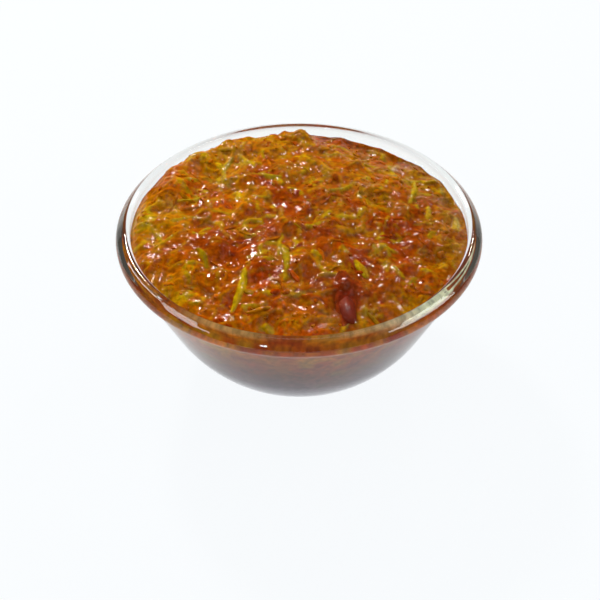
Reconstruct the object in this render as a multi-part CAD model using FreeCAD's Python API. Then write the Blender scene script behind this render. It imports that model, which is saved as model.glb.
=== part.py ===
import FreeCAD, Part
import math
import os

# A clear glass bowl with a thick rounded lip, heaped with grated pickle.
# Millimetres. The middle of the foot is at the origin, +Z is up, and the
# eater's side of the bowl is -Y.

# ---- bowl ----
RIM_RADIUS = 60.0          # widest radius, at the middle of the lip
HEIGHT = 54.2              # foot to the top of the lip
FOOT_SHARE = 0.420         # radius where the body would meet the table, of RIM_RADIUS
FLARE_ANGLE = 25.0         # wall from the vertical, under the lip
WALL = 3.2                 # body wall thickness
FLOOR_THICKNESS = 5.0      # glass under the contents
FOOT_ROUND = 4.0           # rounding between the foot and the body
FLOOR_ROUND = 8.0          # rounding between the inner floor and the wall

# ---- lip ----
LIP_WIDTH = 4.8            # across the lip, inner wall to widest point
LIP_TOP = 4.0              # from the widest level to the top of the lip
LIP_ROUND = 3.0            # outer rounding of the lip
LIP_EDGE_ROUND = 1.4       # inner top rounding of the lip
LIP_FILLET = 2.2           # hollow rounding where the lip meets the body

# ---- pickle ----
FILL_DROP = 0.2            # widest level of the lip to the edge of the pickle
CROWN = 6.0                # broad rise from the edge to the middle of the heap
SHOULDER = 1.2             # quick rise of the heap just inside the wall
SHOULDER_RUN = 2.6         # how far inside the wall that rise takes
WAVE_HEIGHT = 0.42         # each of the small unevennesses of the heap
WAVE_COUNT = 8
WAVE_SHORTEST = 6.5        # crest to crest of the finest unevenness
WAVE_STEP = 1.5            # added to that for each coarser one
WAVE_TURN = 137.5          # each wave's crest line is turned by this, in degrees
WAVE_SHIFT = 1.7           # and its crests are moved along by this, in radians
HEADROOM = 25.0            # above the lip, clear of the highest mound
NET_STEPS = 54             # steps of the square net of points that carries the heap
NET_REACH = 1.06           # half the net's side, as a share of the mouth's radius

# Mounds on the heap: bearing from +X in degrees, distance out as a share of
# the fill radius, height in mm, spread in mm.
MOUNDS = [
    (12.0, 0.88, -1.6, 9.0),
    (32.0, 0.88, -1.4, 8.0),
    (48.0, 0.88, -2.8, 8.0),
    (62.0, 0.88, -3.0, 7.0),
    (76.0, 0.88, -1.2, 7.0),
    (90.0, 0.90, 3.8, 6.0),
    (106.0, 0.88, 3.3, 7.0),
    (121.0, 0.88, 4.2, 7.0),
    (136.0, 0.88, 4.6, 7.0),
    (150.0, 0.88, 6.0, 7.0),
    (166.0, 0.88, 4.4, 8.0),
    (184.0, 0.86, 1.6, 10.0),
    (205.0, 0.70, 1.6, 11.0),
    (255.0, 0.60, 1.2, 11.0),
    (110.0, 0.40, 1.4, 13.0),
    (330.0, 0.50, -1.2, 12.0),
]

# ---- piece of red chilli skin lying on the heap ----
CHILLI_LENGTH = 14.0
CHILLI_WIDTH = 5.6
CHILLI_THICKNESS = 2.2
CHILLI_END = 0.30          # size of its blunt ends, as a share of the middle
CHILLI_NARROWING = 0.25    # how much narrower the outer end is, as a share
CHILLI_SWAY = 0.8          # sideways bow of its middle
CHILLI_DROOP = 0.9         # how far its ends bend down
CHILLI_FOLD = 0.5          # height of the fold along its top
CHILLI_FOLD_WIDTH = 1.4    # width of that fold
CHILLI_BEARING = 290.0     # of its middle, from +X
CHILLI_OUT = 0.815         # of its middle, as a share of the mouth's radius
CHILLI_TURN = 94.0         # its length, from +X
CHILLI_PROUD = 0.4         # its middle above the surface of the heap
CHILLI_STATIONS = 9
CHILLI_AROUND = 12         # points round each cross-section

flare = math.radians(FLARE_ANGLE)
lip_level = HEIGHT - LIP_TOP
mouth_radius = RIM_RADIUS - LIP_WIDTH
foot_radius = FOOT_SHARE * RIM_RADIUS
fill_level = lip_level - FILL_DROP


def body_sphere():
    """Centre height and outer radius of the round lower body.

    The straight wall under the lip touches this sphere, and the sphere
    passes through the edge of the foot."""
    reach = mouth_radius * math.cos(flare) - lip_level * math.sin(flare) + WALL
    root = math.sqrt(reach ** 2 - (math.cos(flare) * foot_radius) ** 2)
    centre = (reach * math.sin(flare) + root) / math.cos(flare) ** 2
    return centre, math.hypot(foot_radius, centre)


centre_z, outer_radius = body_sphere()
inner_radius = outer_radius - WALL


def point(r, z):
    return FreeCAD.Vector(r, 0, z)


def on_circle(centre, radius, angle):
    return point(centre[0] + radius * math.cos(angle), centre[1] + radius * math.sin(angle))


def arc(centre, radius, start, end):
    """Edge round a centre in the profile plane, from one angle to another."""
    first = on_circle(centre, radius, start)
    middle = on_circle(centre, radius, (start + end) / 2)
    last = on_circle(centre, radius, end)
    return Part.Arc(first, middle, last).toShape()


def line(first, last):
    return Part.makeLine(first, last)


def corner_in_sphere(radius, level, ball):
    """Centre of a rounding that touches a level and a sphere from inside."""
    rise = centre_z - level - ball
    return math.sqrt((radius - ball) ** 2 - rise ** 2), level + ball


def angle_from_axis(centre):
    """Direction from the body centre through a rounding's centre."""
    return math.atan2(centre[1] - centre_z, centre[0])


def inner_profile(top):
    """Edges of the inner surface, from the axis out and up to a level."""
    corner = corner_in_sphere(inner_radius, FLOOR_THICKNESS, FLOOR_ROUND)
    turn = angle_from_axis(corner)
    body = (0.0, centre_z)
    wall_start = on_circle(body, inner_radius, -flare)
    mouth = point(mouth_radius, lip_level)
    floor_end = point(corner[0], FLOOR_THICKNESS)
    return [
        line(point(0, FLOOR_THICKNESS), floor_end),
        arc(corner, FLOOR_ROUND, -math.pi / 2, turn),
        arc(body, inner_radius, turn, -flare),
        line(wall_start, mouth),
        line(mouth, point(mouth_radius, top)),
    ]


def lip_fillet_centre(lip_centre):
    """Centre of the hollow rounding that touches the lip and the body wall."""
    off = outer_radius + LIP_FILLET
    across = (math.cos(flare), -math.sin(flare))
    along = (math.sin(flare), math.cos(flare))
    dr = lip_centre[0]
    dz = lip_centre[1] - centre_z
    side = dr * across[0] + dz * across[1] - off
    run = dr * along[0] + dz * along[1]
    back = math.sqrt((LIP_ROUND + LIP_FILLET) ** 2 - side ** 2)
    t = run - back
    return off * across[0] + t * along[0], centre_z + off * across[1] + t * along[1]


def outer_profile():
    """Edges of the outside, from the top inner rounding of the lip to the axis."""
    lip = (RIM_RADIUS - LIP_ROUND, lip_level)
    edge = (mouth_radius + LIP_EDGE_ROUND, HEIGHT - LIP_EDGE_ROUND)
    span = math.hypot(edge[0] - lip[0], edge[1] - lip[1])
    bearing = math.atan2(edge[1] - lip[1], edge[0] - lip[0])
    lean = bearing - math.acos((LIP_ROUND - LIP_EDGE_ROUND) / span)
    hollow = lip_fillet_centre(lip)
    under = math.atan2(hollow[1] - lip[1], hollow[0] - lip[0])
    body = (0.0, centre_z)
    corner = corner_in_sphere(outer_radius, 0.0, FOOT_ROUND)
    turn = angle_from_axis(corner)
    wall_end = on_circle(hollow, LIP_FILLET, math.pi - flare)
    wall_start = on_circle(body, outer_radius, -flare)
    return [
        arc(edge, LIP_EDGE_ROUND, math.pi, lean),
        line(on_circle(edge, LIP_EDGE_ROUND, lean), on_circle(lip, LIP_ROUND, lean)),
        arc(lip, LIP_ROUND, lean, under),
        arc(hollow, LIP_FILLET, under + math.pi, math.pi - flare),
        line(wall_end, wall_start),
        arc(body, outer_radius, -flare, turn),
        arc(corner, FOOT_ROUND, turn, -math.pi / 2),
        line(point(corner[0], 0), point(0, 0)),
    ]


def revolve(edges):
    """Solid made by turning a closed profile about the axis."""
    wire = Part.Wire(Part.__sortEdges__(edges))
    face = Part.Face(wire)
    return face.revolve(FreeCAD.Vector(0, 0, 0), FreeCAD.Vector(0, 0, 1), 360)


def make_bowl():
    edges = inner_profile(HEIGHT - LIP_EDGE_ROUND) + outer_profile()
    edges.append(line(point(0, 0), point(0, FLOOR_THICKNESS)))
    return revolve(edges)


def make_cavity(top):
    """Everything inside the bowl, up to a level above the heap."""
    edges = inner_profile(top)
    edges.append(line(point(mouth_radius, top), point(0, top)))
    edges.append(line(point(0, top), point(0, FLOOR_THICKNESS)))
    return revolve(edges)


def waves(x, y):
    """Small unevenness, crests crossing in every direction."""
    total = 0.0
    for k in range(WAVE_COUNT):
        bearing = k * math.radians(WAVE_TURN)
        length = WAVE_SHORTEST + WAVE_STEP * k
        run = x * math.cos(bearing) + y * math.sin(bearing)
        total += math.sin(2 * math.pi * run / length + WAVE_SHIFT * k)
    return WAVE_HEIGHT * total


def mounds(x, y):
    total = 0.0
    for bearing, out, rise, spread in MOUNDS:
        cx = out * mouth_radius * math.cos(math.radians(bearing))
        cy = out * mouth_radius * math.sin(math.radians(bearing))
        away = math.hypot(x - cx, y - cy) / spread
        total += rise * math.exp(-away ** 2)
    return total


def heap_height(x, y):
    """Height of the top of the pickle."""
    r = math.hypot(x, y)
    dome = CROWN * (1 - (r / mouth_radius) ** 2)
    settle = math.tanh((mouth_radius - r) / SHOULDER_RUN)
    return fill_level + dome + settle * (SHOULDER + mounds(x, y) + waves(x, y))


def heap_face():
    """Smooth surface over the whole mouth, through a square net of points."""
    half = mouth_radius * NET_REACH
    net = []
    for i in range(NET_STEPS + 1):
        x = half * (2.0 * i / NET_STEPS - 1)
        row = []
        for j in range(NET_STEPS + 1):
            y = half * (2.0 * j / NET_STEPS - 1)
            row.append(FreeCAD.Vector(x, y, heap_height(x, y)))
        net.append(row)
    surface = Part.BSplineSurface()
    surface.interpolate(net)
    return surface.toShape()


def make_heap():
    above = heap_face().extrude(FreeCAD.Vector(0, 0, HEIGHT))
    heap = make_cavity(HEIGHT + HEADROOM).cut(above)
    return heap.Solids[0]


def chilli_section(share):
    """One closed cross-section of the chilli skin, at a share of its length."""
    reach = 2 * share - 1
    size = CHILLI_END + (1 - CHILLI_END) * math.sqrt(1 - reach ** 4)
    half_width = CHILLI_WIDTH / 2 * size * (1 - CHILLI_NARROWING * (1 - share))
    half_thick = CHILLI_THICKNESS / 2 * size
    x = CHILLI_LENGTH * reach / 2
    sway = CHILLI_SWAY * (1 - reach ** 2)
    droop = CHILLI_DROOP * reach ** 2
    points = []
    for k in range(CHILLI_AROUND):
        a = 2 * math.pi * k / CHILLI_AROUND
        y = half_width * math.cos(a)
        fold = CHILLI_FOLD * size * math.exp(-(y / CHILLI_FOLD_WIDTH) ** 2) * max(math.sin(a), 0)
        z = half_thick * math.sin(a) + fold - droop
        points.append(FreeCAD.Vector(x, y + sway, z))
    curve = Part.BSplineCurve()
    curve.interpolate(points, PeriodicFlag=True)
    return Part.Wire(curve.toShape())


def heap_slope(x, y):
    """Rise of the heap towards +X and +Y, smoothed over the chilli's width."""
    reach = CHILLI_WIDTH / 2
    rise_x = (heap_height(x + reach, y) - heap_height(x - reach, y)) / (2 * reach)
    rise_y = (heap_height(x, y + reach) - heap_height(x, y - reach)) / (2 * reach)
    return rise_x, rise_y


def make_chilli():
    """Piece of chilli skin laid along the slope of the heap."""
    sections = [chilli_section(k / (CHILLI_STATIONS - 1)) for k in range(CHILLI_STATIONS)]
    piece = Part.makeLoft(sections, True, False)
    bearing = math.radians(CHILLI_BEARING)
    x = CHILLI_OUT * mouth_radius * math.cos(bearing)
    y = CHILLI_OUT * mouth_radius * math.sin(bearing)
    rise_x, rise_y = heap_slope(x, y)
    turn = math.radians(CHILLI_TURN)
    climb = rise_x * math.cos(turn) + rise_y * math.sin(turn)
    pitch = FreeCAD.Rotation(FreeCAD.Vector(0, 1, 0), -math.degrees(math.atan(climb)))
    heading = FreeCAD.Rotation(FreeCAD.Vector(0, 0, 1), CHILLI_TURN)
    place = FreeCAD.Vector(x, y, heap_height(x, y) + CHILLI_PROUD)
    piece.Placement = FreeCAD.Placement(place, heading.multiply(pitch))
    return piece


def main():
    os.makedirs("parts", exist_ok=True)
    chilli = make_chilli()
    parts = {
        "glass_bowl": make_bowl(),
        "pickle": make_heap().cut(chilli).Solids[0],
        "chilli_piece": chilli,
    }
    for name, shape in parts.items():
        shape.exportStep("parts/" + name + ".step")
        print(name, len(shape.Solids), round(shape.Volume), shape.isValid())


main()
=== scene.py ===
import bpy
import bmesh
import math
import numpy as np
from mathutils import Matrix, Vector
from mathutils.bvhtree import BVHTree


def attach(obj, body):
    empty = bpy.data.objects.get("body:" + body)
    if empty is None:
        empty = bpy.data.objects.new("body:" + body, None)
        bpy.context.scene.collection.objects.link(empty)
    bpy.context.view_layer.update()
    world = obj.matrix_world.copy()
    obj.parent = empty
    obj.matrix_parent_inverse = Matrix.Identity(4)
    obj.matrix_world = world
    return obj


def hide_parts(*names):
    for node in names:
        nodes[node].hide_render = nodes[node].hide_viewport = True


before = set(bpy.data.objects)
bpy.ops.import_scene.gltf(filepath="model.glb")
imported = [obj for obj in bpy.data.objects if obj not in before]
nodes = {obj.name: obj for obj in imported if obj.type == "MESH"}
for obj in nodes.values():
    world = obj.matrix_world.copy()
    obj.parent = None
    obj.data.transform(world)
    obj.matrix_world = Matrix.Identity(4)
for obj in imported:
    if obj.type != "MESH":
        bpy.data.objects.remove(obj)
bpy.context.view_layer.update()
scene = bpy.context.scene

# ---------------------------------------------------------------- camera
LIP_LEVEL = 0.0502
DISTANCE = 0.430
ELEVATION = math.radians(38.0)
AIM_BELOW = math.radians(3.1)
cam_data = bpy.data.cameras.new("camera")
cam_data.sensor_width = 36.0
cam_data.lens = 78.3
cam_data.clip_start = 0.01
cam_data.clip_end = 20.0
cam = bpy.data.objects.new("camera", cam_data)
scene.collection.objects.link(cam)
cam.location = (0.0003, -DISTANCE * math.cos(ELEVATION), LIP_LEVEL + DISTANCE * math.sin(ELEVATION))
cam.rotation_euler = (math.pi / 2 - ELEVATION - AIM_BELOW, 0.0, 0.0)
scene.camera = cam
scene.view_settings.view_transform = "Standard"

# ---------------------------------------------------------------- sizes, mm, as in the solids
RIM_RADIUS = 60.0
HEIGHT = 54.2
FOOT_SHARE = 0.420
FLARE = math.radians(25.0)
WALL = 3.2
FLOOR_THICKNESS = 5.0
FOOT_ROUND = 4.0
FLOOR_ROUND = 8.0
LIP_WIDTH = 4.8
LIP_TOP = 4.0
LIP_ROUND = 3.0
LIP_EDGE_ROUND = 1.4
LIP_FILLET = 2.2
FILL_DROP = 0.2
INTO_WALL = 0.25

lip_level = HEIGHT - LIP_TOP
mouth = RIM_RADIUS - LIP_WIDTH
foot = FOOT_SHARE * RIM_RADIUS
reach = mouth * math.cos(FLARE) - lip_level * math.sin(FLARE) + WALL
centre_z = reach * math.sin(FLARE) + math.sqrt(reach ** 2 - (math.cos(FLARE) * foot) ** 2)
centre_z = centre_z / math.cos(FLARE) ** 2
outer_r = math.hypot(foot, centre_z)
inner_r = outer_r - WALL
fill_level = lip_level - FILL_DROP
EDGE_R = mouth - 0.35  # the net of points that carries the heap ends just inside the glass
CHILLI_X, CHILLI_Y = 14.7, -42.4  # the middle of the piece of chilli


# ---------------------------------------------------------------- mesh helpers
def arc(cx, cz, radius, start, end, steps):
    """Points along a round stretch of an outline, as distances from the axis and heights."""
    a = np.linspace(start, end, steps)
    return np.stack([cx + radius * np.cos(a), cz + radius * np.sin(a)], 1)


def straight(p, q, steps):
    """Points along a straight stretch of an outline."""
    t = np.linspace(0, 1, steps)[:, None]
    return np.array(p) * (1 - t) + np.array(q) * t


def corner(radius, level, ball):
    """Middle of the rounding between a sphere and a level face, and where it meets the sphere."""
    rise = centre_z - level - ball
    x = math.sqrt((radius - ball) ** 2 - rise ** 2)
    return x, level + ball, math.atan2(level + ball - centre_z, x)


def inner_line(top):
    """Outline of the inside of the glass, from the middle of the floor up to a height."""
    x, z, turn = corner(inner_r, FLOOR_THICKNESS, FLOOR_ROUND)
    ws = (inner_r * math.cos(FLARE), centre_z - inner_r * math.sin(FLARE))
    return np.concatenate([
        straight((0.0, FLOOR_THICKNESS), (x, FLOOR_THICKNESS), 8),
        arc(x, z, FLOOR_ROUND, -math.pi / 2, turn, 10)[1:],
        arc(0, centre_z, inner_r, turn, -FLARE, 24)[1:],
        straight(ws, (mouth, lip_level), 14)[1:],
        straight((mouth, lip_level), (mouth, top), 6)[1:],
    ])


def outer_line():
    """Outline of the outside of the glass, from the inner edge of the lip down to the foot."""
    lip = (RIM_RADIUS - LIP_ROUND, lip_level)
    edge = (mouth + LIP_EDGE_ROUND, HEIGHT - LIP_EDGE_ROUND)
    span = math.hypot(edge[0] - lip[0], edge[1] - lip[1])
    bearing = math.atan2(edge[1] - lip[1], edge[0] - lip[0])
    lean = bearing - math.acos((LIP_ROUND - LIP_EDGE_ROUND) / span)
    off = outer_r + LIP_FILLET
    ac = (math.cos(FLARE), -math.sin(FLARE))
    al = (math.sin(FLARE), math.cos(FLARE))
    dr, dz = lip[0], lip[1] - centre_z
    side = dr * ac[0] + dz * ac[1] - off
    run = dr * al[0] + dz * al[1]
    t = run - math.sqrt((LIP_ROUND + LIP_FILLET) ** 2 - side ** 2)
    hol = (off * ac[0] + t * al[0], centre_z + off * ac[1] + t * al[1])
    under = math.atan2(hol[1] - lip[1], hol[0] - lip[0])
    x, z, turn = corner(outer_r, 0.0, FOOT_ROUND)
    we = (hol[0] - LIP_FILLET * math.cos(FLARE), hol[1] + LIP_FILLET * math.sin(FLARE))
    ws = (outer_r * math.cos(FLARE), centre_z - outer_r * math.sin(FLARE))
    tip = (edge[0] + LIP_EDGE_ROUND * math.cos(lean), edge[1] + LIP_EDGE_ROUND * math.sin(lean))
    side_top = (lip[0] + LIP_ROUND * math.cos(lean), lip[1] + LIP_ROUND * math.sin(lean))
    return np.concatenate([
        arc(edge[0], edge[1], LIP_EDGE_ROUND, math.pi, lean, 14)[1:],
        straight(tip, side_top, 5)[1:],
        arc(lip[0], lip[1], LIP_ROUND, lean, under, 26)[1:],
        arc(hol[0], hol[1], LIP_FILLET, under + math.pi, math.pi - FLARE, 12)[1:],
        straight(we, ws, 14)[1:],
        arc(0, centre_z, outer_r, -FLARE, turn, 26)[1:],
        arc(x, z, FOOT_ROUND, turn, -math.pi / 2, 10)[1:],
        straight((x, 0), (0.0, 0), 8)[1:],
    ])


def new_mesh(name, verts, *face_sets, tint=None, weld=False):
    """verts in mm, each set of faces an (n, 3) or (n, 4) array, tint one colour per vertex."""
    verts = np.asarray(verts, np.float32) * 0.001
    volume = 0.0
    for faces in face_sets:
        corners = [verts[faces[:, k]].astype(float) for k in range(faces.shape[1])]
        for b, c in zip(corners[1:-1], corners[2:]):
            volume += np.sum(corners[0] * np.cross(b, c))
    if volume < 0:
        face_sets = [faces[:, ::-1] for faces in face_sets]
    mesh = bpy.data.meshes.new(name)
    mesh.vertices.add(len(verts))
    mesh.vertices.foreach_set("co", verts.ravel())
    loops = np.concatenate([faces.ravel() for faces in face_sets]).astype(np.int32)
    mesh.loops.add(len(loops))
    mesh.loops.foreach_set("vertex_index", loops)
    sides = np.concatenate([np.full(len(faces), faces.shape[1]) for faces in face_sets])
    mesh.polygons.add(len(sides))
    mesh.polygons.foreach_set("loop_start", (np.cumsum(sides) - sides).astype(np.int32))
    mesh.polygons.foreach_set("use_smooth", np.ones(len(sides), bool))
    if tint is not None:
        layer = mesh.color_attributes.new("tint", "FLOAT_COLOR", "POINT")
        rgba = np.ones((len(verts), 4), np.float32)
        rgba[:, :3] = tint
        layer.data.foreach_set("color", rgba.ravel())
    mesh.update()
    if weld:
        bm = bmesh.new()
        bm.from_mesh(mesh)
        bmesh.ops.remove_doubles(bm, verts=bm.verts, dist=1e-8)
        bm.to_mesh(mesh)
        bm.free()
        mesh.polygons.foreach_set("use_smooth", np.ones(len(mesh.polygons), bool))
    mesh.validate()
    obj = bpy.data.objects.new(name, mesh)
    scene.collection.objects.link(obj)
    return obj


def ring_faces(rows, cols, base=0):
    """Quads of a net that closes round each row."""
    i = np.arange(rows - 1)[:, None] * cols
    j = np.arange(cols)[None, :]
    k = (j + 1) % cols
    return np.stack([i + j, i + k, i + cols + k, i + cols + j], -1).reshape(-1, 4) + base


def turn_about_axis(line, segments):
    """Points of an outline carried round the bowl's axis."""
    a = np.linspace(0, 2 * np.pi, segments, endpoint=False)
    x = line[:, 0:1] * np.cos(a)
    y = line[:, 0:1] * np.sin(a)
    z = np.repeat(line[:, 1:2], segments, 1)
    return np.stack([x, y, z], -1).reshape(-1, 3)


def between(f, u, v):
    """Value of a field between its cells, at places counted in cells."""
    i = u.astype(int)
    j = v.astype(int)
    s, t = u - i, v - j
    if f.ndim == 3:
        s, t = s[..., None], t[..., None]
    low = f[i, j] * (1 - s) + f[i + 1, j] * s
    high = f[i, j + 1] * (1 - s) + f[i + 1, j + 1] * s
    return low * (1 - t) + high * t


class Noise:
    """Smooth lattice noise in the plane, -1 to 1."""

    def __init__(self, seed):
        self.grid = np.random.default_rng(seed).uniform(-1, 1, (256, 256))

    def __call__(self, x, y, size):
        u = np.asarray(x) / size + 91.3
        v = np.asarray(y) / size + 47.7
        i = np.floor(u).astype(int)
        j = np.floor(v).astype(int)
        s = u - i
        t = v - j
        s = s * s * s * (s * (6 * s - 15) + 10)
        t = t * t * t * (t * (6 * t - 15) + 10)
        g = self.grid
        i0, i1, j0, j1 = i % 256, (i + 1) % 256, j % 256, (j + 1) % 256
        low = g[i0, j0] * (1 - s) + g[i1, j0] * s
        high = g[i0, j1] * (1 - s) + g[i1, j1] * s
        return low * (1 - t) + high * t


# ---------------------------------------------------------------- height of the heap, from the solid
pk = nodes["pickle"].data
pk.calc_loop_triangles()
tree = BVHTree.FromPolygons([v.co[:] for v in pk.vertices], [t.vertices[:] for t in pk.loop_triangles])
STEPS = 240
EDGE_CLEAR = 0.15  # rays stay this far inside the net's edge
axis = np.linspace(-EDGE_R, EDGE_R, STEPS + 1)
heap = np.full((STEPS + 1, STEPS + 1), np.nan)
for i, gx in enumerate(axis):
    for j, gy in enumerate(axis):
        far = math.hypot(gx, gy)
        k = 1.0 if far < EDGE_R - EDGE_CLEAR else (EDGE_R - EDGE_CLEAR) / far
        hit = tree.ray_cast(Vector((gx * k * 0.001, gy * k * 0.001, 0.1)), Vector((0, 0, -1)))
        heap[i, j] = hit[0].z * 1000 if hit[0] is not None else fill_level


def blurred(f, sigma, cell):
    """Gaussian blur of a field of cells, along one axis and then the other."""
    k = int(3 * sigma / cell)
    w = np.exp(-0.5 * (np.arange(-k, k + 1) * cell / sigma) ** 2)
    w /= w.sum()
    for ax in (0, 1):
        pad = [(k, k) if a == ax else (0, 0) for a in range(f.ndim)]
        p = np.pad(f, pad, mode="edge")
        f = sum(w[i] * np.take(p, np.arange(i, i + f.shape[ax]), axis=ax) for i in range(2 * k + 1))
    return f


# the mounds are eased a little, except at the wall and under the chilli
EASE_SHARE = 0.8
EASE_BLUR = 1.9
HX, HY = np.meshgrid(axis, axis, indexing="ij")
ease = EASE_SHARE * np.clip((EDGE_R - np.hypot(HX, HY)) / 5.0, 0, 1)
ease = ease * (1 - np.exp(-((HX - CHILLI_X) / 6.0) ** 2 - ((HY - CHILLI_Y) / 11.0) ** 2))
heap = heap * (1 - ease) + blurred(heap, EASE_BLUR, axis[1] - axis[0]) * ease


def top_of(x, y):
    """Height of the solid heap at a place, mm."""
    u = np.clip((np.asarray(x) + EDGE_R) / (2 * EDGE_R) * STEPS, 0, STEPS - 1e-6)
    v = np.clip((np.asarray(y) + EDGE_R) / (2 * EDGE_R) * STEPS, 0, STEPS - 1e-6)
    return between(heap, u, v)


# ---------------------------------------------------------------- glass bowl
segments = 384
profile = np.concatenate([inner_line(HEIGHT - LIP_EDGE_ROUND), outer_line()])
bowl_v = turn_about_axis(profile, segments)
bowl = new_mesh("bowl_glass", bowl_v, ring_faces(len(profile), segments), weld=True)

# ---------------------------------------------------------------- colours of the pickle
AMBER = np.array([0.44, 0.118, 0.0003])
ORANGE = np.array([0.41, 0.060, 0.0003])
RED = np.array([0.28, 0.022, 0.0003])
GREEN = np.array([0.50, 0.320, 0.0030])
OLIVE = np.array([0.38, 0.190, 0.0010])
BROWN = np.array([0.20, 0.015, 0.0003])
SYRUP = np.array([0.35, 0.050, 0.0003])


# ---------------------------------------------------------------- relief: shreds laid one on another
CELL = 0.2  # side of a cell
SPAN = 57.0  # half the side of the square of cells
SIDE_CELLS = int(2 * SPAN / CELL)
LAID_SHREDS = 3600
LAID_REACH = 55.0  # the laid shreds lie this near the middle, mm
LAID_YELLOW = 115
YELLOW_REACH = 53.0
BROAD_BLUR = 2.4  # widths of the blurs, mm
FINE_BLUR = 0.22
PAINT_BLUR = 0.16
LAY_SOFTNESS = 0.09  # how softly a shred sinks into what is under it
POOL_SOFTNESS = 0.06  # the same for the edge of the syrup
RELIEF_DROP = 0.40  # the relief hangs this far under the solid's surface, so that most stays in it
cells = -SPAN + CELL * (np.arange(SIDE_CELLS) + 0.5)
CX, CY = np.meshgrid(cells, cells, indexing="ij")
na, nb, nc, nd = Noise(1), Noise(2), Noise(3), Noise(4)
relief = 0.13 * na(CX, CY, 3.8) + 0.14 * nb(CX, CY, 1.6) + 0.10 * nc(CX, CY, 0.8)
PATCHES = [  # redder, darker and more olive places on the heap: x, y, spread, colour, share
    (-48.0, 0.0, 13.0, OLIVE * 1.75, 0.70),
    (-33.0, 32.0, 14.0, OLIVE * 1.55, 0.60),
    (-38.0, 19.0, 7.0, ORANGE * 1.7, 0.60),
    (-16.0, 44.0, 10.0, OLIVE * 1.10, 0.50),
    (4.0, 46.0, 10.0, AMBER * 0.95, 0.45),
    (41.0, 28.0, 10.0, OLIVE * 1.05, 0.60),
    (50.0, 2.0, 8.0, OLIVE * 1.05, 0.55),
    (-40.0, -30.0, 11.0, OLIVE * 1.50, 0.60),
    (-24.0, -34.0, 8.0, AMBER * 1.15, 0.40),
    (12.0, 0.0, 6.0, OLIVE * 0.95, 0.50),
    (22.0, -24.0, 12.0, RED, 0.55),
    (35.0, -8.0, 11.0, RED * 0.85, 0.75),
    (15.0, -37.0, 10.0, RED * 0.85, 0.85),
    (4.0, -32.0, 6.0, RED, 0.55),
    (27.0, 8.0, 9.0, BROWN, 0.40),
    (-30.0, -5.0, 8.0, RED, 0.20),
    (4.0, 21.0, 10.0, OLIVE * 0.95, 0.45),
    (18.0, 28.0, 9.0, ORANGE, 0.20),
    (-19.0, -4.0, 7.0, OLIVE, 0.40),
    (-4.0, -21.0, 7.0, OLIVE, 0.35),
    (-8.0, 33.0, 7.0, OLIVE, 0.25),
    (22.0, 38.0, 9.0, OLIVE, 0.35),
    (-29.0, 20.0, 6.0, OLIVE, 0.30),
    (50.0, -14.0, 7.0, OLIVE * 1.15, 0.50),
    (29.0, -12.0, 6.0, RED, 0.50),
    (31.0, -41.0, 8.0, RED, 0.35),
    (-38.0, -20.0, 6.0, ORANGE * 1.10, 0.50),
]
TONES = [Noise(20 + k) for k in range(5)]


def ground_colour(x, y, slope=1.0):
    """Colour of the pulp at each place; the slope argument is how much painted light and shade make it
    lighter to the left and front, darker to the right and back.
    """
    n0, n1, n2, n3, n4 = TONES
    wide = n0(x, y, 16.0)
    a = np.clip(0.5 + 0.9 * n1(x, y, 7.5) - 0.7 * wide, 0, 1)[..., None]
    b = np.clip(0.10 + 1.1 * n2(x, y, 5.0) - 0.4 * wide, 0, 1)[..., None]
    c = np.clip(-0.20 + 1.0 * n3(x, y, 3.0), 0, 1)[..., None]
    e = np.clip(-0.15 + 1.1 * n4(x, y, 5.0) + 0.6 * wide, 0, 1)[..., None]
    out = AMBER * (1 - a) + ORANGE * a
    out = out * (1 - 0.8 * b) + RED * 0.8 * b
    out = out * (1 - 0.6 * c) + BROWN * 0.6 * c
    out = out * (1 - 0.7 * e) + OLIVE * 0.7 * e
    # painted light and shade: the last term makes the pulp lighter to the left and front and darker to the
    # right and back
    out = out * (1 + 0.24 * wide - slope * (0.0010 * y + 0.0045 * x))[..., None]
    for px, py, spread, colour, share in PATCHES:
        w = (share * np.exp(-((x - px) ** 2 + (y - py) ** 2) / spread ** 2))[..., None]
        out = out * (1 - w) + colour * w
    return out


paint = ground_colour(CX, CY)


def ground_at(x, y):
    """Colour of the pulp at one place."""
    return ground_colour(np.array([x]), np.array([y]))[0]


def random_place(g, reach):
    """A place within a distance of the middle, evenly spread, and its bearing."""
    far = reach * math.sqrt(g.uniform())
    bearing = g.uniform(0, 2 * math.pi)
    return far * math.cos(bearing), far * math.sin(bearing), bearing


def cell_of(v):
    """Number of the cell that holds a place, mm."""
    return np.clip(((np.asarray(v) + SPAN) / CELL).astype(int), 0, SIDE_CELLS - 1)


LINE_POINTS = 9  # points along the middle line of a laid shred


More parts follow.
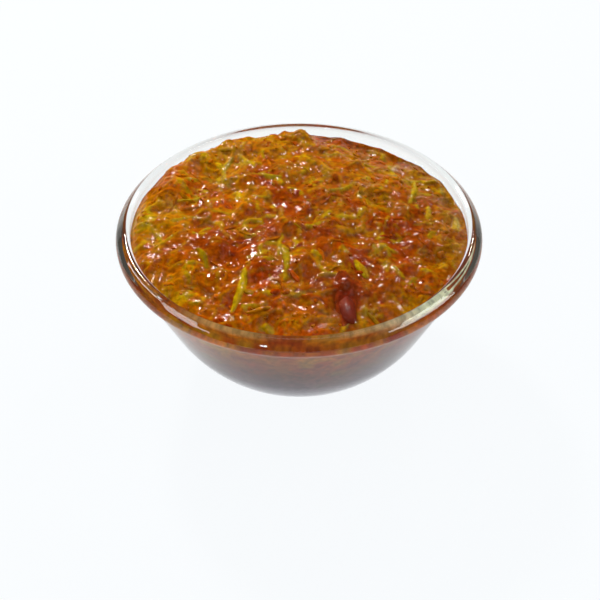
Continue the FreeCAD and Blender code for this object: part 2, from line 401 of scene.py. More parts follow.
def lay_shred(g, cx, cy, turn, length, width, thick, bow, sink, colour, cover):
    """Presses one curved grating into the relief and its colour into the paint."""
    s = np.linspace(-1, 1, LINE_POINTS)
    head = turn + bow * s * 0.5
    x = np.cumsum(np.cos(head)) * length / (LINE_POINTS - 1)
    y = np.cumsum(np.sin(head)) * length / (LINE_POINTS - 1)
    x += cx - x[LINE_POINTS // 2]
    y += cy - y[LINE_POINTS // 2]
    under = relief[cell_of(x), cell_of(y)]
    bed = np.polyval(np.polyfit(s, under, 2), s) - sink
    i0, i1 = cell_of(x.min() - width), cell_of(x.max() + width) + 1
    j0, j1 = cell_of(y.min() - width), cell_of(y.max() + width) + 1
    gx, gy = CX[i0:i1, j0:j1], CY[i0:i1, j0:j1]
    # each cell's nearest point on the middle line: its distance, its side and how far along
    nearest = np.full(gx.shape, 1e9)
    hand = np.zeros(gx.shape)
    along = np.zeros(gx.shape)
    for k in range(LINE_POINTS - 1):
        dx, dy = x[k + 1] - x[k], y[k + 1] - y[k]
        step = dx * dx + dy * dy + 1e-9
        t = np.clip(((gx - x[k]) * dx + (gy - y[k]) * dy) / step, 0, 1)
        ex, ey = gx - x[k] - t * dx, gy - y[k] - t * dy
        distance = ex * ex + ey * ey
        closer = distance < nearest
        nearest = np.where(closer, distance, nearest)
        hand = np.where(closer, np.sign(ex * dy - ey * dx), hand)
        along = np.where(closer, k + t, along)
    nearest = np.sqrt(nearest)
    q = along / (LINE_POINTS - 1) * 2 - 1
    half = 0.5 * width * np.maximum(1 - np.abs(q) ** 3.5, 0.02) ** 0.5 * (1 + 0.15 * np.sin(5 * q + cx))
    share = nearest / half
    inside = share < 1
    tilt = g.normal(0, 0.35) * nearest * hand
    crest = thick * np.sqrt(np.clip(1 - share ** 2, 0, 1)) * (1 - 0.35 * np.abs(q) ** 2)
    ribs = 0.05 * np.cos(nearest * hand * 7.0 + 3 * q)
    top = np.interp(along, np.arange(LINE_POINTS), bed) + crest + np.where(inside, tilt + ribs, 0)
    now = relief[i0:i1, j0:j1]
    lift = np.where(inside, LAY_SOFTNESS * np.logaddexp(0, (top - now) / LAY_SOFTNESS), 0)
    over = np.where(inside, 1 / (1 + np.exp(-(top - now) / 0.10)), 0)  # before the relief changes
    fringe = np.clip((1 - share) / 0.25, 0, 1)
    relief[i0:i1, j0:j1] = now + lift * np.clip(fringe * 2, 0, 1)
    w = (over * cover * fringe)[..., None]
    paint[i0:i1, j0:j1] = paint[i0:i1, j0:j1] * (1 - w) + colour * w


def laid_colour(g, base):
    """Colour of a laid shred where the pulp has a colour, and how well it covers the pulp."""
    pick = g.uniform()
    if 0.36 <= pick < 0.70 and base[1] < 0.17 * base[0]:  # no green ones where the pulp is red
        pick = 0.1
    if pick < 0.36:
        return base * g.uniform(0.80, 1.3), 0.7
    if pick < 0.74:
        return (GREEN * g.uniform(0.5, 1.0) + base * 0.45) / 1.2, 0.7
    if pick < 0.87:
        return ORANGE * g.uniform(0.8, 1.25), 0.6
    return (RED if g.uniform() < 0.6 else BROWN) * g.uniform(0.8, 1.3), 0.65


g = np.random.default_rng(5)
for n in range(LAID_SHREDS):
    x0, y0, _ = random_place(g, LAID_REACH)
    base = ground_at(x0, y0)
    own, cover = laid_colour(g, base)
    own = 0.75 * own + 0.25 * base
    length = float(np.clip(g.lognormal(1.60, 0.45), 2.2, 14.0))
    width = float(np.clip(g.normal(1.40, 0.50), 0.6, 2.8))
    lay_shred(g, x0, y0, g.uniform(0, math.pi), length, width, width * g.uniform(0.14, 0.34),
              g.normal(0, 0.9), g.uniform(0.05, 0.45), own, cover)
for n in range(LAID_YELLOW):
    x0, y0, _ = random_place(g, YELLOW_REACH)
    base = ground_at(x0, y0)
    length, width = g.uniform(3.5, 8.5), g.uniform(1.5, 2.6)
    if base[1] > 0.15 * base[0]:
        lay_shred(g, x0, y0, g.uniform(0, math.pi), length, width, 0.45, g.normal(0, 0.9),
                  g.uniform(0.0, 0.25), GREEN * g.uniform(0.75, 1.10), 0.75)

HEROES = [  # the large green shreds: x, y, heading in degrees, length, width, bow, colour
    (-17.8, -35.0, 76.0, 17.5, 2.5, 0.45, GREEN * 1.10),
    (-4.0, -21.5, 278.0, 14.0, 2.2, -0.4, GREEN * 0.85),
    (9.0, -28.9, 8.0, 6.5, 2.3, 0.2, GREEN * 0.95),
    (19.4, -25.0, 302.0, 7.5, 2.6, 0.2, GREEN * 1.15),
    (30.8, -25.7, 303.0, 6.5, 1.9, 0.1, GREEN * 0.85),
    (-25.6, 27.0, 85.0, 16.0, 2.0, -0.9, GREEN * 0.85),
    (39.0, 18.0, 78.0, 17.0, 1.9, 0.5, GREEN * 0.85),
    (-36.0, 10.0, 20.0, 10.0, 2.0, 0.4, GREEN * 0.75),
    (-10.0, 20.0, 160.0, 9.0, 1.9, -0.5, GREEN * 0.8),
    (14.0, 14.0, 35.0, 10.0, 1.8, 0.6, GREEN * 0.75),
    (-30.0, -20.0, 110.0, 9.0, 2.0, 0.7, GREEN * 0.7),
]
for x0, y0, head, length, width, bow, own in HEROES:
    lay_shred(g, x0, y0, math.radians(head), length, width, 0.8, bow, 0.0, own, 0.95)

# only the fine relief is kept, as the solid has the broad one
relief = relief - blurred(relief, BROAD_BLUR, CELL)
relief = blurred(relief, FINE_BLUR, CELL)
# syrup lies in the hollows, smooth and a little redder
pool = -0.22 + 0.14 * nd(CX, CY, 5.0)
wet_share = 1 / (1 + np.exp((relief - pool) / 0.10))
relief = pool + POOL_SOFTNESS * np.logaddexp(0, (relief - pool) / POOL_SOFTNESS)
w = (0.45 * wet_share)[..., None]
paint = paint * (1 - w) + SYRUP * w
paint = blurred(paint, PAINT_BLUR, CELL)
# the flesh of the chilli goes on under the pulp, smooth and dark
slab = np.exp(-(((CX - CHILLI_X + 0.4) / 4.4) ** 2 + ((CY - CHILLI_Y - 4.0) / 10.5) ** 2) ** 2)
relief = relief * (1 - 0.5 * slab) + 0.15 * slab
paint = paint * (1 - 0.6 * slab[..., None]) + np.array([0.22, 0.028, 0.006]) * 0.6 * slab[..., None]
# and its red has run into the pulp round it and to the left of it
wash = 0.55 * np.exp(-((CX - CHILLI_X - 0.5) / 11.0) ** 2 - ((CY - CHILLI_Y - 7.0) / 12.0) ** 2)
wash = np.maximum(wash, 0.7 * np.exp(-((CX - 8.0) / 10.0) ** 4 - ((CY + 30.5) / 2.4) ** 2))[..., None]
paint = paint * (1 - wash) + np.array([0.24, 0.032, 0.004]) * wash


def sample(f, x, y):
    """Value of the relief's or the paint's cells at places, mm."""
    u = np.clip((x + SPAN) / CELL - 0.5, 0, SIDE_CELLS - 1.001)
    v = np.clip((y + SPAN) / CELL - 0.5, 0, SIDE_CELLS - 1.001)
    return between(f, u, v)


# ---------------------------------------------------------------- pulp: the top of the heap
NET = 300
net_axis = np.linspace(-1, 1, NET + 1)
uu, vv = np.meshgrid(net_axis, net_axis, indexing="ij")
# square net to disc, keeping areas even
wider = np.abs(uu) > np.abs(vv)
with np.errstate(divide="ignore", invalid="ignore"):
    around = np.where(wider, (math.pi / 4) * vv / uu, math.pi / 2 - (math.pi / 4) * uu / vv)
around = np.nan_to_num(around)
TX = EDGE_R * np.where(wider, uu, vv) * np.cos(around)
TY = EDGE_R * np.where(wider, uu, vv) * np.sin(around)
# the relief fades towards the glass, and the pulp is a little higher round the chilli
calm = np.clip((mouth - np.hypot(TX, TY)) / 2.5, 0.15, 1)
swell = calm * np.exp(-(((TX - CHILLI_X) / 7.0) ** 2 + ((TY - CHILLI_Y - 1.0) / 12.0) ** 2) ** 2)
TZ = top_of(TX, TY) + (sample(relief, TX, TY) - RELIEF_DROP) * calm + 0.6 * swell
TZ = np.minimum(TZ, top_of(TX, TY) + 0.30 + 0.6 * swell)
top_tint = sample(paint, TX, TY)
index = np.arange(TX.size).reshape(TX.shape)


def square_edge(grid):
    """The outermost values of a square grid, once round."""
    return np.concatenate([grid[:, 0], grid[-1, 1:], grid[-2::-1, -1], grid[0, -2:0:-1]])


quads = np.stack([index[:-1, :-1], index[1:, :-1], index[1:, 1:], index[:-1, 1:]], -1).reshape(-1, 4)
rim_i = square_edge(index)
rim_x, rim_y, rim_z = square_edge(TX), square_edge(TY), square_edge(TZ)
lower = inner_line(lip_level + 3.0)
keep = lower[:, 1] > FLOOR_THICKNESS + 1e-6


def wall_radius(z):
    """Inner radius of the glass at a height above the floor rounding."""
    return np.interp(z, lower[keep][:, 1], lower[keep][:, 0])


# a skirt goes down from the net's edge, just inside the glass, and a fan closes it below
rows_v, rows_t = [], []
rim_count = len(rim_i)
for drop, inset in ((0.10, 0.0), (0.9, 0.0), (2.2, 0.0), (2.4, 1.5)):
    z = rim_z - drop
    rr = wall_radius(z) + INTO_WALL - inset
    k = rr / np.hypot(rim_x, rim_y)
    rows_v.append(np.stack([rim_x * k, rim_y * k, z], 1))
    rows_t.append(ground_colour(rim_x * k, rim_y * k))
skirt = []
prev = rim_i
for r in range(len(rows_v)):
    cur = TX.size + r * rim_count + np.arange(rim_count)
    skirt.append(np.stack([prev, cur, np.roll(cur, -1), np.roll(prev, -1)], 1))
    prev = cur
middle = TX.size + len(rows_v) * rim_count
under_v = np.array([[0, 0, float(TZ.min()) - 3.5]])
fan = np.stack([prev, np.full(rim_count, middle), np.roll(prev, -1)], 1)
top_v = np.concatenate([np.stack([TX, TY, TZ], -1).reshape(-1, 3)] + rows_v + [under_v])
top_t = np.concatenate([top_tint.reshape(-1, 3)] + rows_t + [AMBER[None, :]])
core = new_mesh("pickle_pulp", top_v, np.concatenate([quads] + skirt), fan, tint=top_t)

# ---------------------------------------------------------------- pulp: what lies against the glass
SIDE_SEG = 480
SIDE_ROWS = 70
ang = np.linspace(0, 2 * np.pi, SIDE_SEG, endpoint=False)
rim_level = top_of((mouth - 1.2) * np.cos(ang), (mouth - 1.2) * np.sin(ang)) - 1.8
down = np.linspace(0, 1, SIDE_ROWS)[:, None]
side_z = rim_level[None, :] * (1 - down) + (FLOOR_THICKNESS + 0.3) * down
side_r = wall_radius(side_z) + INTO_WALL
SX, SY = side_r * np.cos(ang), side_r * np.sin(ang)
lid_r = np.array([0.0, 20.0, 40.0, 52.0])[:, None]
LX, LY = lid_r * np.cos(ang), lid_r * np.sin(ang)
lid_share = lid_r / 52.0
LZ = np.repeat(rim_level[None, :] - 1.0, 4, 0) * lid_share + (rim_level.mean() - 1.0) * (1 - lid_share)
bot_r = np.array([22.0, 12.0, 4.0, 0.0])[:, None]
BX, BY = bot_r * np.cos(ang), bot_r * np.sin(ang)
BZ = np.full_like(BX, FLOOR_THICKNESS - INTO_WALL)
wall_v = np.concatenate([np.stack(part, -1).reshape(-1, 3)
                         for part in ((LX, LY, LZ), (SX, SY, side_z), (BX, BY, BZ))])
bearing = np.arctan2(wall_v[:, 1], wall_v[:, 0])
wall_t = ground_colour(bearing * 50.0, wall_v[:, 2] * 1.2 + 200.0, 0.0)
# painted light and shade: lighter near the top and darker towards the foot, then a painted bluish
# reflection of the floor towards the foot, and painted shade under the lip except in front
wall_t = wall_t * (1.15 * np.exp((wall_v[:, 2] - fill_level) / 14.0))[:, None]
wall_t = wall_t + np.array([0.055, 0.060, 0.115]) * np.clip((30.0 - wall_v[:, 2]) / 20.0, 0, 1)[:, None]
beside = np.abs((bearing + 1.5 * math.pi) % (2 * math.pi) - math.pi)
beside = np.clip((beside - math.radians(44)) / math.radians(14), 0, 1)
under_lip = np.clip((wall_v[:, 2] - fill_level + 6.0) / 4.0, 0, 1)
wall_t = wall_t * (1 - 0.6 * beside * under_lip)[:, None]
packed_faces = ring_faces(4 + SIDE_ROWS + 4, SIDE_SEG)
packed = new_mesh("pickle_against_glass", wall_v, packed_faces, tint=wall_t, weld=True)


# ---------------------------------------------------------------- oil that has climbed the glass in front
FILM_THICK = 0.10
film_noise = Noise(31)
signed = (ang - 1.5 * math.pi + math.pi) % (2 * math.pi) - math.pi  # bearing from the front
film_reach = np.where(signed > 0, math.radians(50), math.radians(44))
climb = 1 / (1 + np.exp((np.abs(signed) - film_reach) / math.radians(7)))
film_top = fill_level - 1.0 + climb * (HEIGHT - LIP_EDGE_ROUND - fill_level + 0.9)
film_top = film_top + climb * 0.25 * film_noise(ang * 40.0, 0.0, 3.0)
film_low = fill_level - 2.0
film_line = [(mouth + INTO_WALL, 0.0), (mouth + INTO_WALL, 0.5), (mouth + INTO_WALL, 1.0),
             (mouth - FILM_THICK * 0.2, 1.0), (mouth - FILM_THICK, 0.85), (mouth - FILM_THICK, 0.0)]
film_v = []
for r, share in film_line + film_line[:1]:
    z = film_low + (film_top - film_low) * share
    film_v.append(np.stack([r * np.cos(ang), r * np.sin(ang), z], -1))
film_v = np.concatenate(film_v)
film_t = ground_colour(np.tile(ang, len(film_line) + 1) * 55.0, film_v[:, 2] * 1.5, 0.0) * 0.75
# the thin upper part is paler, as thin oil is; more so to the sides and greenish on the right, which is a
# painted reflection of light in the lip
thin = np.clip((film_v[:, 2] - fill_level - 1.0) / 1.6, 0, 1)[:, None]
turned = np.tile(signed, len(film_line) + 1)[:, None]
aside = np.clip(np.abs(turned) / math.radians(16), 0, 1) ** 2
right = np.clip((turned - math.radians(22)) / math.radians(20), 0, 1)
pale = np.array([0.54, 0.36, 0.13]) * (1 - right) + np.array([0.85, 0.95, 0.68]) * right
thin = np.maximum(thin, 0.8 * right * (film_v[:, 2:3] > fill_level - 1.0))
film_t = film_t * (1 - 0.85 * thin * aside) + pale * 0.85 * thin * aside
film_faces = ring_faces(len(film_line) + 1, SIDE_SEG)
film = new_mesh("oil_on_glass", film_v, film_faces, tint=film_t, weld=True)


# ---------------------------------------------------------------- shreds
SHRED_ALONG, SHRED_AROUND = 11, 8  # points of a shred's net
shred_s = np.linspace(-1, 1, SHRED_ALONG)


def shred_points(g, cx, cy, turn, length, width, bow, depth, thick):
    """Net of points round one curved, tapering grating that lies on the heap."""
    s = shred_s
    head = turn + bow * s * 0.5
    step = length / (SHRED_ALONG - 1)
    x = np.cumsum(np.cos(head) * step)
    y = np.cumsum(np.sin(head) * step)
    x = x - x[SHRED_ALONG // 2] + cx
    y = y - y[SHRED_ALONG // 2] + cy
    # its middle line stays inside the glass and just in the heap, its ends dipping
    limit = mouth - 0.75 * width * 0.5 - 0.25
    pull = np.minimum(1.0, limit / np.maximum(np.hypot(x, y), 1e-6))
    x, y = x * pull, y * pull
    ground = top_of(x, y)
    fit = np.polyfit(s, ground, 1)
    level = np.minimum(0.55 * ground + 0.45 * np.polyval(fit, s), ground)
    dip = g.uniform(0.2, 1.3) * np.abs(s) ** 3 + 0.25 * np.sin(s * g.uniform(1, 4) + g.uniform(0, 6))
    z = np.minimum(level - depth - dip, ground - 0.45 * thick)
    line = np.stack([x, y, z], 1)
    # a frame along the line, which rolls a little
    tangent = np.gradient(line, axis=0)
    tangent /= np.linalg.norm(tangent, axis=1)[:, None]
    side = np.cross(tangent, np.array([0.0, 0.0, 1.0]))
    side /= np.linalg.norm(side, axis=1)[:, None]
    normal = np.cross(side, tangent)
    roll = g.normal(0, 0.45) + g.normal(0, 0.35) * s
    across = side * np.cos(roll)[:, None] + normal * np.sin(roll)[:, None]
    upward = -side * np.sin(roll)[:, None] + normal * np.cos(roll)[:, None]
    # flat oval sections, ragged and tapering
    taper = np.clip(1 - np.abs(s) ** g.uniform(2.5, 6), 0, 1) ** 0.6
    taper = np.maximum(taper, 0.06) * (1 + 0.12 * np.sin(s * g.uniform(3, 8) + g.uniform(0, 6)))
    ragged = 1 + g.normal(0, 0.10, (SHRED_ALONG, SHRED_AROUND))
    around = np.linspace(0, 2 * np.pi, SHRED_AROUND, endpoint=False)
    c, d = np.cos(around), np.sin(around)
    wide = 0.5 * width * taper[:, None] * (np.sign(c) * np.abs(c) ** 0.8) * ragged
    high = 0.5 * thick * taper[:, None] * (np.sign(d) * np.abs(d) ** 0.8) * ragged
    net = line[:, None, :] + across[:, None, :] * wide[:, :, None] + upward[:, None, :] * high[:, :, None]
    return net.reshape(-1, 3)


def shreds(name, count, length, width, thick, colours, deep, seed, given=()):
    """One joined mesh of gratings on the heap: the given ones, then some at random places."""
    g = np.random.default_rng(seed)
    all_v, all_t = [], []
    for item in list(given) + [None] * count:
        if item is None:
            cx, cy, _ = random_place(g, mouth - 2.0)
            ln = float(np.clip(g.lognormal(math.log(length), 0.35), 3.0, 19.0))
            wd = float(np.clip(g.normal(width, 0.3 * width), 0.55 * width, 1.7 * width))
            turn = g.uniform(0, np.pi)
            bow = g.normal(0, 0.9)
            depth = g.uniform(*deep)
            colour = colours[g.integers(len(colours))] * g.uniform(0.8, 1.2)
            colour = 0.5 * colour + 0.5 * ground_at(cx, cy)
        else:
            cx, cy, turn, ln, wd, bow, depth, colour = item
        own_thick = thick * g.uniform(0.75, 1.25) * min(1.0, wd / width)
        all_v.append(shred_points(g, cx, cy, turn, ln, wd, bow, depth, own_thick))
        shade = 1 + 0.10 * np.sin(shred_s * 3 + g.uniform(0, 6))
        all_t.append(np.repeat(colour[None, :] * shade[:, None], SHRED_AROUND, 0))
    v = np.concatenate(all_v)
    far = np.hypot(v[:, 0], v[:, 1])
    v[:, :2] *= np.minimum(1, (mouth - 0.05) / np.maximum(far, 1e-6))[:, None]
    v[:, 2] = np.minimum(v[:, 2], top_of(v[:, 0], v[:, 1]) + 0.35)
    start_cap = np.array([[0, 7, 6, 1], [1, 6, 5, 2], [2, 5, 4, 3]])
    end_cap = start_cap[:, ::-1] + (SHRED_ALONG - 1) * SHRED_AROUND
    one = np.concatenate([ring_faces(SHRED_ALONG, SHRED_AROUND), start_cap, end_cap])
    faces = np.concatenate([one + i * SHRED_ALONG * SHRED_AROUND for i in range(len(all_v))])
    return new_mesh(name, v, faces, tint=np.concatenate(all_t))


amber = shreds("shreds_amber", 70, 6.5, 1.5, 0.9, [AMBER, AMBER * 1.1, ORANGE * 1.1], (0.35, 0.75), 5)
orange = shreds("shreds_orange", 40, 6.0, 1.4, 0.9, [ORANGE, RED * 1.2, ORANGE * 0.9], (0.4, 0.75), 6)
green_given = [(x0, y0, math.radians(head), length * 0.96, width * 0.95, bow, 0.40, own)
               for x0, y0, head, length, width, bow, own in HEROES[:5]]
green_colours = [OLIVE, GREEN * 0.85, (GREEN + AMBER) / 2]
green = shreds("shreds_green", 30, 6.5, 1.5, 0.9, green_colours, (0.35, 0.7), 7, green_given)
dark = shreds("shreds_dark", 4, 5.5, 1.5, 0.5, [RED, BROWN * 1.5], (0.5, 0.7), 8)


# ---------------------------------------------------------------- grains of pulp
def grains(name, count, size, colours, seed):
    """Small soft lumps pressed into the surface."""
    g = np.random.default_rng(seed)
    bm = bmesh.new()
    bmesh.ops.create_icosphere(bm, subdivisions=1, radius=1.0)
    base_v = np.array([v.co[:] for v in bm.verts])
    base_f = np.array([[v.index for v in f.verts] for f in bm.faces])
    bm.free()
    out_v, out_t, out_f = [], [], []
    for i in range(count):
        cx, cy, bearing = random_place(g, mouth - 1.4)
        own_size = size * g.lognormal(0, 0.4)
        shape = np.array([g.uniform(0.7, 1.7), g.uniform(0.6, 1.1), g.uniform(0.5, 0.9)]) * own_size
        p = base_v * (1 + g.normal(0, 0.14, (len(base_v), 1))) * shape
        ca, sa = math.cos(bearing * 7), math.sin(bearing * 7)
        px = p[:, 0] * ca - p[:, 1] * sa + cx
        py = p[:, 0] * sa + p[:, 1] * ca + cy
        pz = p[:, 2] + float(top_of(cx, cy)) - g.uniform(0.35, 0.75)
        out_v.append(np.stack([px, py, pz], 1))
        own = colours[g.integers(len(colours))] * g.uniform(0.8, 1.25)
        own = 0.4 * own + 0.6 * ground_at(cx, cy)
        out_t.append(np.repeat(own[None, :], len(p), 0))
        out_f.append(base_f + i * len(base_v))
    v = np.concatenate(out_v)
    v[:, 2] = np.minimum(v[:, 2], top_of(v[:, 0], v[:, 1]) + 0.2)
    return new_mesh(name, v, np.concatenate(out_f), tint=np.concatenate(out_t))


pulp = grains("grains_pulp", 500, 0.50, [AMBER, ORANGE, AMBER * 1.15, (GREEN + AMBER) / 2, ORANGE], 9)


# ---------------------------------------------------------------- chilli
chilli = nodes["chilli_piece"]
for p in chilli.data.polygons:
    p.use_smooth = True

# the flat flesh on both sides of the chilli's fold, most of its edge sunk in the pulp
FLESH_STEPS = 40
FLESH_LONG = 11.0  # half its length, and half its width
FLESH_WIDE = 3.7
FLESH_THICK = 1.2
FLESH_RISE = 1.05  # height of its middle above the heap
flesh_axis = np.linspace(-1, 1, FLESH_STEPS + 1)
fu, fv = np.meshgrid(flesh_axis, flesh_axis, indexing="ij")
fx = fu * np.sqrt(1 - fv ** 2 / 2)
fy = fv * np.sqrt(1 - fu ** 2 / 2)
out_share = np.hypot(fx, fy)
FLESH_TURN = math.radians(94.0)
long_mm = FLESH_LONG * fx
wide_mm = FLESH_WIDE * fy * (1 + 0.10 * np.sin(2.2 * fx + 0.6)) + 0.5 * fx ** 2
PX = CHILLI_X - 0.3 + long_mm * math.cos(FLESH_TURN) - wide_mm * math.sin(FLESH_TURN)
PY = CHILLI_Y + 2.6 + long_mm * math.sin(FLESH_TURN) + wide_mm * math.cos(FLESH_TURN)
base_fit = np.stack([np.ones(PX.size), PX.ravel(), PY.ravel(), PX.ravel() ** 2, PY.ravel() ** 2], 1)
share, *_ = np.linalg.lstsq(base_fit, top_of(PX, PY).ravel(), rcond=None)
PZ = (base_fit @ share).reshape(PX.shape) + FLESH_RISE
PZ = PZ - 0.9 * np.abs(fy) ** 3 - 1.3 * out_share ** 9 + 0.15 * np.sin(1.3 * long_mm) * fy
flesh_v = np.concatenate([np.stack([PX, PY, z], -1).reshape(-1, 3) for z in (PZ, PZ - FLESH_THICK)])
row = FLESH_STEPS + 1
grid = np.arange(row * row).reshape(row, row)
lid = np.stack([grid[:-1, :-1], grid[1:, :-1], grid[1:, 1:], grid[:-1, 1:]], -1).reshape(-1, 4)
loop = square_edge(grid)
after = np.roll(loop, -1)
side = np.stack([after, loop, loop + row * row, after + row * row], -1)
blend = np.clip((out_share - 0.45) / 0.5, 0, 1)[..., None] ** 1.5
flesh_t = np.array([0.19, 0.019, 0.005]) * (1 - blend) + np.array([0.27, 0.042, 0.004]) * blend
flesh_t = np.tile(flesh_t.reshape(-1, 3), (2, 1))
flesh_faces = np.concatenate([lid, lid[:, ::-1] + row * row, side])
flesh = new_mesh("chilli_flesh", flesh_v, flesh_faces, tint=flesh_t)


# ---------------------------------------------------------------- node helpers
def add(tree, kind, inputs=None, **settings):
    """A new shader node of a kind, with its settings and the values of some of its inputs."""
    node = tree.nodes.new("ShaderNode" + kind)
    for name, value in settings.items():
        setattr(node, name, value)
    for name, value in (inputs or {}).items():
        node.inputs[name].default_value = value
    return node


def set_stops(ramp, stops):
    """Gives a colour ramp its stops, from first to last, each a place and a colour."""
    ends = ramp.color_ramp.elements
    for end, (place, colour) in zip(ends, (stops[0], stops[-1])):
        end.position = place
        end.color = colour
    for place, colour in stops[1:-1]:
        ends.new(place).color = colour


def empty_tree(owner):
    """The node tree of a material or world, with nothing in it."""
    owner.use_nodes = True
    owner.node_tree.nodes.clear()
    return owner.node_tree


def material(name, inputs):
    """A material of one Principled shader, with its tree and that shader."""
    made = bpy.data.materials.new(name)
    tree = empty_tree(made)
    shader = add(tree, "BsdfPrincipled", inputs)
    tree.links.new(shader.outputs[0], add(tree, "OutputMaterial").inputs[0])
    return made, tree, shader


# ---------------------------------------------------------------- materials
def glass_material():
    """Clear glass with a faint painted warm glow, standing in for light of the pickle lost when the bounces
    run out.
    """
    return material("clear_glass", {
        "Base Color": (0.965, 0.985, 0.972, 1),
        "Transmission Weight": 1.0,
        "Roughness": 0.0,
        "IOR": 1.5,
        "Emission Color": (1.0, 0.92, 0.78, 1),
        "Emission Strength": 0.010,
    })[0]


def mottled_tint(tree, place, shader):
    """Colour from the tint on each piece, broken up by fine noise."""
    tint = add(tree, "Attribute", attribute_name="tint")
    noise = add(tree, "TexNoise", {"Scale": 620.0, "Detail": 5.0})
    tree.links.new(place, noise.inputs["Vector"])
    share = add(tree, "MapRange", {"From Min": 0.3, "From Max": 0.7, "To Min": 0.58, "To Max": 1.34})
    tree.links.new(noise.outputs["Fac"], share.inputs["Value"])
    mixed = add(tree, "Mix", {0: 1.0}, data_type="RGBA", blend_type="MULTIPLY")
    tree.links.new(tint.outputs["Color"], mixed.inputs[6])
    tree.links.new(share.outputs[0], mixed.inputs[7])
    tree.links.new(mixed.outputs[2], shader.inputs["Base Color"])
    return mixed.outputs[2]


def wet_material():
    """Soft wet fruit under an oily coat, whose fine bumps glint, more in some patches than in others."""
    made, tree, shader = material("wet_pickle", {
        "Subsurface Weight": 0.5,
        "Subsurface Radius": (1.0, 0.4, 0.1),
        "Subsurface Scale": 0.0011,
        "Roughness": 0.5,
        "Specular IOR Level": 0.0,
        "Coat Weight": 0.42,
        "Coat Roughness": 0.03,
        "Coat IOR": 1.5,
    })
    place = add(tree, "TexCoord").outputs["Object"]
    mottled_tint(tree, place, shader)
    fine = add(tree, "TexNoise", {"Scale": 950.0, "Detail": 0.8, "Roughness": 0.5})
    tree.links.new(place, fine.inputs["Vector"])
    patch = add(tree, "TexNoise", {"Scale": 170.0, "Detail": 2.0})
    tree.links.new(place, patch.inputs["Vector"])
    amount = add(tree, "MapRange", {"From Min": 0.46, "From Max": 0.60, "To Min": 0.45, "To Max": 1.3})
    tree.links.new(patch.outputs["Fac"], amount.inputs["Value"])
    both = add(tree, "Math", operation="MULTIPLY")
    tree.links.new(fine.outputs["Fac"], both.inputs[0])
    tree.links.new(amount.outputs[0], both.inputs[1])
    bump = add(tree, "Bump", {"Strength": 1.0, "Distance": 0.00022})
    tree.links.new(both.outputs[0], bump.inputs["Height"])
    tree.links.new(bump.outputs[0], shader.inputs["Normal"])
    tree.links.new(bump.outputs[0], shader.inputs["Coat Normal"])
    return made


def pressed_material():
    """Pickle and oil behind the glass: dull, with a painted glow in its own colour that stands in for the
    lamp light the glass keeps from it.
    """
    made, tree, shader = material("pickle_behind_glass", {
        "Roughness": 0.5,
        "Specular IOR Level": 0.0,
        "Emission Strength": 0.30,
    })
    colour = mottled_tint(tree, add(tree, "TexCoord").outputs["Object"], shader)
    # painted glow: the tint also lights the surface as emission
    tree.links.new(colour, shader.inputs["Emission Color"])
    return made


def chilli_material():
    """Wet dark red skin with fine wrinkles."""
    made, tree, shader = material("red_chilli", {
        "Roughness": 0.45,
        "Subsurface Weight": 0.5,
        "Subsurface Radius": (1.0, 0.2, 0.1),
        "Subsurface Scale": 0.001,
        "Specular IOR Level": 0.1,
        "Coat Weight": 0.20,
        "Coat Roughness": 0.05,
    })
    place = add(tree, "TexCoord").outputs["Object"]
    noise = add(tree, "TexNoise", {"Scale": 260.0, "Detail": 4.0})
    tree.links.new(place, noise.inputs["Vector"])
    ramp = add(tree, "ValToRGB")
    set_stops(ramp, [(0.35, (0.15, 0.013, 0.004, 1)), (0.68, (0.23, 0.024, 0.005, 1))])
    tree.links.new(noise.outputs["Fac"], ramp.inputs[0])
    tree.links.new(ramp.outputs[0], shader.inputs["Base Color"])
    bump = add(tree, "Bump", {"Strength": 0.5, "Distance": 0.0006})
    tree.links.new(noise.outputs["Fac"], bump.inputs["Height"])
    tree.links.new(bump.outputs[0], shader.inputs["Normal"])
    tree.links.new(bump.outputs[0], shader.inputs["Coat Normal"])
    return made


wet = wet_material()
pressed = pressed_material()
bowl.data.materials.append(glass_material())
for piece in (packed, film):
    piece.data.materials.append(pressed)
for piece in (core, amber, orange, green, dark, pulp, flesh):
    piece.data.materials.append(wet)
chilli.data.materials.clear()
chilli.data.materials.append(chilli_material())


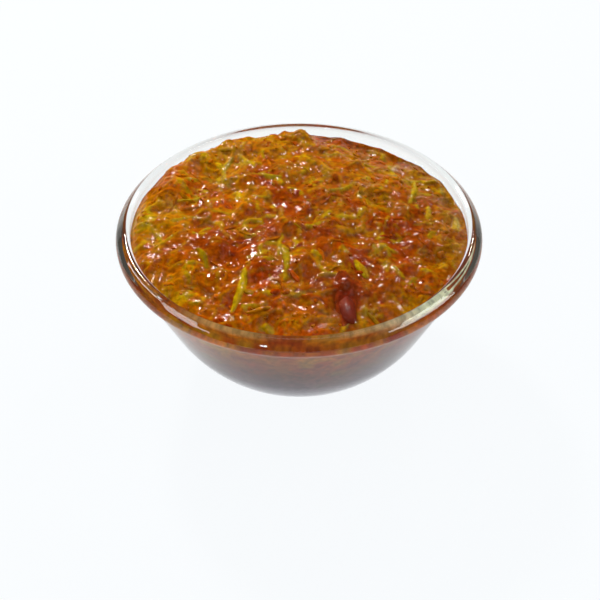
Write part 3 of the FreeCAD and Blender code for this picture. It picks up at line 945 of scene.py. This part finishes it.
# ---------------------------------------------------------------- floor
def floor_material():
    """White where the camera or the glass looks straight at it; mirrored, it shows a painted pool of light
    that dims away from the bowl.
    """
    made = bpy.data.materials.new("floor")
    tree = empty_tree(made)
    path = add(tree, "LightPath")
    seen = add(tree, "Math", operation="MAXIMUM")
    tree.links.new(path.outputs["Is Camera Ray"], seen.inputs[0])
    tree.links.new(path.outputs["Is Transmission Ray"], seen.inputs[1])
    seen_share = add(tree, "Math", {1: 0.95}, operation="MULTIPLY")
    tree.links.new(seen.outputs[0], seen_share.inputs[0])
    distance = add(tree, "VectorMath", operation="LENGTH")
    tree.links.new(add(tree, "TexCoord").outputs["Object"], distance.inputs[0])
    scaled = add(tree, "Math", {1: 2.5}, operation="MULTIPLY")
    tree.links.new(distance.outputs["Value"], scaled.inputs[0])
    # painted pool of light: seen in reflections the floor is brightest near the bowl and dims outwards
    fall = add(tree, "ValToRGB")
    set_stops(fall, [(place, (share, share, share, 1))
                     for place, share in ((0.10, 1.0), (0.135, 0.60), (0.35, 0.50), (0.75, 0.10))])
    tree.links.new(scaled.outputs[0], fall.inputs[0])
    mirrored = add(tree, "Math", operation="MULTIPLY")
    tree.links.new(path.outputs["Is Glossy Ray"], mirrored.inputs[0])
    tree.links.new(fall.outputs[0], mirrored.inputs[1])
    white_share = add(tree, "Math", operation="MAXIMUM")
    tree.links.new(seen_share.outputs[0], white_share.inputs[0])
    tree.links.new(mirrored.outputs[0], white_share.inputs[1])
    mixed = add(tree, "MixShader")
    tree.links.new(white_share.outputs[0], mixed.inputs[0])
    lit = add(tree, "BsdfDiffuse", {"Color": (0.86, 0.86, 0.86, 1)})
    white = add(tree, "Emission", {"Color": (0.965, 0.99, 1.01, 1), "Strength": 1.0})
    tree.links.new(lit.outputs[0], mixed.inputs[1])
    tree.links.new(white.outputs[0], mixed.inputs[2])
    tree.links.new(mixed.outputs[0], add(tree, "OutputMaterial").inputs[0])
    return made


FLOOR_HALF = 6.0
FLOOR_DROP = 0.0002  # under the foot, so that the two faces don't flicker
floor_mesh = bpy.data.meshes.new("floor")
floor_mesh.from_pydata([(-FLOOR_HALF, -FLOOR_HALF, 0), (FLOOR_HALF, -FLOOR_HALF, 0),
                        (FLOOR_HALF, FLOOR_HALF, 0), (-FLOOR_HALF, FLOOR_HALF, 0)], [], [(0, 1, 2, 3)])
floor = bpy.data.objects.new("floor", floor_mesh)
floor.location = (0, 0, -FLOOR_DROP)
scene.collection.objects.link(floor)
floor_mesh.materials.append(floor_material())


# ---------------------------------------------------------------- world
def studio_world():
    """Soft light for dull surfaces, a dark room for shiny ones, grey through glass, white behind."""
    made = bpy.data.worlds.new("studio")
    tree = empty_tree(made)
    soft = add(tree, "Background", {"Color": (1, 1, 1, 1), "Strength": 0.27})
    room = add(tree, "Background", {"Strength": 1.0})
    through = add(tree, "Background", {"Color": (1.0, 1.0, 0.96, 1), "Strength": 0.5})
    white = add(tree, "Background", {"Color": (1, 1, 1, 1), "Strength": 1.0})
    # the room is lighter on the right
    parts = add(tree, "SeparateXYZ")
    tree.links.new(add(tree, "TexCoord").outputs["Generated"], parts.inputs[0])
    reach = add(tree, "MapRange", {"From Min": 0.5, "From Max": 0.95})
    tree.links.new(parts.outputs["X"], reach.inputs["Value"])
    shade = add(tree, "Mix", {6: (0.022, 0.020, 0.016, 1), 7: (0.15, 0.15, 0.115, 1)}, data_type="RGBA")
    tree.links.new(reach.outputs[0], shade.inputs[0])
    tree.links.new(shade.outputs[2], room.inputs["Color"])
    path = add(tree, "LightPath")
    shown = soft
    for ray, sight in (("Is Glossy Ray", room), ("Is Transmission Ray", through), ("Is Camera Ray", white)):
        mixed = add(tree, "MixShader")
        tree.links.new(path.outputs[ray], mixed.inputs[0])
        tree.links.new(shown.outputs[0], mixed.inputs[1])
        tree.links.new(sight.outputs[0], mixed.inputs[2])
        shown = mixed
    tree.links.new(shown.outputs[0], add(tree, "OutputWorld").inputs[0])
    return made


scene.world = studio_world()


# ---------------------------------------------------------------- lamps
LAMP_AIM = Vector((0, 0, 0.04))


def lamp(name, place, size, power, colour=(1, 1, 1), size_y=None, roll=0.0):
    """A square or oblong lamp that faces the heap; roll, in degrees, turns it about its own axis."""
    data = bpy.data.lights.new(name, "AREA")
    data.energy = power
    data.color = colour
    data.size = size
    if size_y:
        data.shape = "RECTANGLE"
        data.size_y = size_y
    obj = bpy.data.objects.new(name, data)
    obj.location = place
    turn = (LAMP_AIM - Vector(place)).to_track_quat("-Z", "Y").to_matrix()
    turn = turn @ Matrix.Rotation(math.radians(roll), 3, "Z")
    obj.rotation_euler = turn.to_euler()
    scene.collection.objects.link(obj)


lamp("key", (-0.24, 0.53, 0.54), 0.10, 4.2, (1.0, 0.97, 0.91))
lamp("over", (0.12, -0.10, 0.95), 0.80, 1.0, (1.0, 1.0, 0.93), size_y=0.45)
lamp("fill", (0.26, 0.50, 0.48), 0.06, 0.8, (1.0, 0.98, 0.95))
lamp("front", (-0.22, -0.58, 0.55), 0.04, 0.5)
lamp("strip_left", (-0.46, -0.02, 0.28), 0.60, 0.34, (1.0, 1.0, 0.97), size_y=0.024, roll=25.0)
lamp("strip_right", (0.46, -0.11, 0.31), 0.40, 0.30, (0.98, 1.0, 0.90), size_y=0.030, roll=-25.0)

# ---------------------------------------------------------------- hand the pieces to the frame
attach(bowl, "root")
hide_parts("glass_bowl")
for piece in (core, packed, film, amber, orange, green, dark, pulp, flesh):
    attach(piece, "root")
    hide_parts("pickle")
